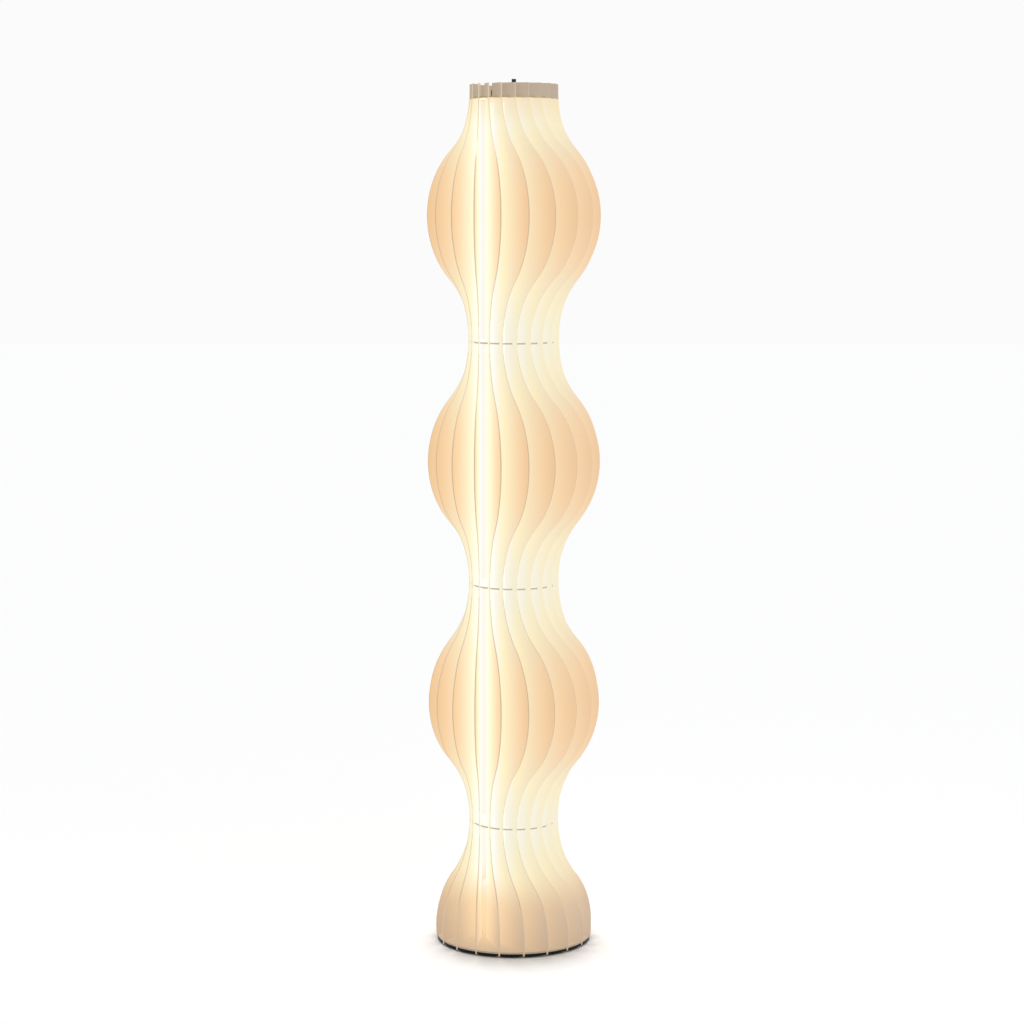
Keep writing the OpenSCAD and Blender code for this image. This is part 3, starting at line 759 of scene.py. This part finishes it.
class COLUMNLAMP_OT_stage(LampOperator, bpy.types.Operator):
    """Set out the floor, the room's light, the softbox, the overhead light and the camera"""
    bl_idname = "columnlamp.stage"
    bl_label = "Studio"

    def execute(self, context):
        scene = context.scene
        stage = scene.lamp_stage
        self.lay_floor(scene, stage)
        self.light_room(scene, stage)
        self.hang_lights(scene, stage)
        self.place_camera(scene, stage)
        scene.view_settings.view_transform = "Standard"
        return {"FINISHED"}

    def lay_floor(self, scene, stage):
        half = stage.floor_size / 2
        corners = [(-half, -half, 0), (half, -half, 0), (half, half, 0), (-half, half, 0)]
        mesh = bpy.data.meshes.new("studio_floor")
        mesh.from_pydata(corners, [], [(0, 1, 2, 3)])
        mesh.materials.append(floor_material())
        floor = bpy.data.objects.new("studio_floor", mesh)
        scene.collection.objects.link(floor)

    def light_room(self, scene, stage):
        world = bpy.data.worlds.new("studio_room")
        world.use_nodes = True
        world.node_tree.nodes.clear()
        g = Graph(world.node_tree)
        seen = seen_directly(g)
        level = stage.world_level
        tone = g.mix(seen, (level, level, level), ROOM_SEEN)
        sky = g.add("ShaderNodeBackground", {"Color": tone, "Strength": 1.0})
        result = g.add("ShaderNodeOutputWorld")
        world.node_tree.links.new(sky.outputs[0], result.inputs["Surface"])
        scene.world = world

    def hang_lights(self, scene, stage):
        panel = bpy.data.lights.new("softbox", "AREA")
        panel.shape = "RECTANGLE"
        panel.size = SOFTBOX_WIDTH
        panel.size_y = SOFTBOX_HEIGHT
        panel.energy = stage.key_power
        softbox = bpy.data.objects.new("softbox", panel)
        softbox.location = SOFTBOX_PLACE
        aim = Vector(SOFTBOX_AIM) - softbox.location
        softbox.rotation_euler = aim.to_track_quat("-Z", "Y").to_euler()
        scene.collection.objects.link(softbox)
        sun = bpy.data.lights.new("overhead", "SUN")
        # A light of strength pi from straight above adds 1 to the level of a white floor
        sun.energy = stage.overhead_level * math.pi / math.cos(stage.overhead_tilt)
        sun.angle = stage.overhead_spread
        overhead = bpy.data.objects.new("overhead", sun)
        overhead.rotation_euler = (-stage.overhead_tilt, 0.0, 0.0)
        scene.collection.objects.link(overhead)

    def place_camera(self, scene, stage):
        data = bpy.data.cameras.new("camera")
        data.lens = stage.lens
        data.sensor_width = SENSOR_WIDTH
        camera = bpy.data.objects.new("camera", data)
        camera.location = (stage.camera_aside, -stage.camera_distance, stage.camera_height)
        camera.rotation_euler = (math.pi / 2 - stage.camera_pitch, 0.0, 0.0)
        scene.collection.objects.link(camera)
        scene.camera = camera


OPERATORS = (
    COLUMNLAMP_OT_stage, COLUMNLAMP_OT_fins, COLUMNLAMP_OT_plates, COLUMNLAMP_OT_base,
    COLUMNLAMP_OT_pole, COLUMNLAMP_OT_light, COLUMNLAMP_OT_driver, COLUMNLAMP_OT_fittings)


class COLUMNLAMP_PT_panel(bpy.types.Panel):
    """Lists the lamp's pieces and their settings"""
    bl_idname = "COLUMNLAMP_PT_panel"
    bl_label = "Column Lamp"
    bl_space_type = "VIEW_3D"
    bl_region_type = "UI"
    bl_category = "Column Lamp"

    def draw(self, context):
        layout = self.layout
        for operator in OPERATORS:
            layout.operator(operator.bl_idname)
        for owner in (context.scene.lamp_finish, context.scene.lamp_stage):
            box = layout.box()
            for key in owner.bl_rna.properties.keys():
                if key not in ("rna_type", "name"):
                    box.prop(owner, key)


CLASSES = (FinishSettings, StageSettings) + OPERATORS + (COLUMNLAMP_PT_panel,)


def register():
    for entry in CLASSES:
        bpy.utils.register_class(entry)
    bpy.types.Scene.lamp_finish = bpy.props.PointerProperty(type=FinishSettings)
    bpy.types.Scene.lamp_stage = bpy.props.PointerProperty(type=StageSettings)


def unregister():
    del bpy.types.Scene.lamp_stage
    del bpy.types.Scene.lamp_finish
    for entry in reversed(CLASSES):
        bpy.utils.unregister_class(entry)


def main():
    register()
    for operator in OPERATORS:
        family, name = operator.bl_idname.split(".")
        getattr(getattr(bpy.ops, family), name)()


if __name__ == "__main__":
    main()
